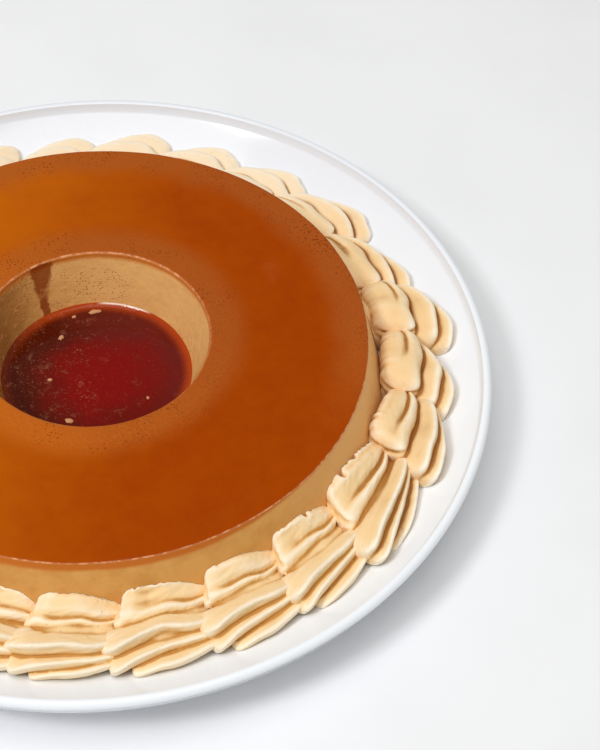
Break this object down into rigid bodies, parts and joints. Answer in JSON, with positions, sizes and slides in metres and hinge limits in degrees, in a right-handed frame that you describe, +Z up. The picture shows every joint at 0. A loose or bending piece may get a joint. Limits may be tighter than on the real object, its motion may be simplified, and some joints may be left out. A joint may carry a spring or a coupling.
{
  "type": "leche flan",
  "caption": "Ring-shaped caramel custard with a pool of syrup in its hole and a piped cream shell border, served on a white coupe plate.",
  "frame": {"origin": "on the table, under the middle of the plate", "axes": "+Z up through the middle of the plate and the flan, +X to the diner's right, -Y towards the diner"},
  "size_m": [0.3, 0.3, 0.039],
  "materials": {
    "porcelain": "white glazed porcelain, smooth and glossy",
    "custard": "baked custard, moist satin with fine pores",
    "caramel": "caramel-soaked custard skin, moist and softly glossy",
    "syrup": "clear dark caramel syrup with specks of custard, wet",
    "cream": "caramel-coloured piped cream, soft satin with tiny air holes"
  },
  "bodies": {
    "root": {"plate": "porcelain", "custard_ring": "custard", "caramel_layer": "caramel", "syrup_pool": "syrup", "cream_shell_01": "cream", "cream_shell_02": "cream", "cream_shell_03": "cream", "cream_shell_04": "cream", "cream_shell_05": "cream", "cream_shell_06": "cream", "cream_shell_07": "cream", "cream_shell_08": "cream", "cream_shell_09": "cream", "cream_shell_10": "cream", "cream_shell_11": "cream", "cream_shell_12": "cream", "cream_shell_13": "cream", "cream_shell_14": "cream", "cream_shell_15": "cream", "cream_shell_16": "cream", "cream_shell_17": "cream", "cream_shell_18": "cream", "cream_shell_19": "cream", "cream_shell_20": "cream", "cream_shell_21": "cream", "cream_shell_22": "cream", "cream_shell_23": "cream", "cream_shell_24": "cream"}
  },
  "joints": []
}
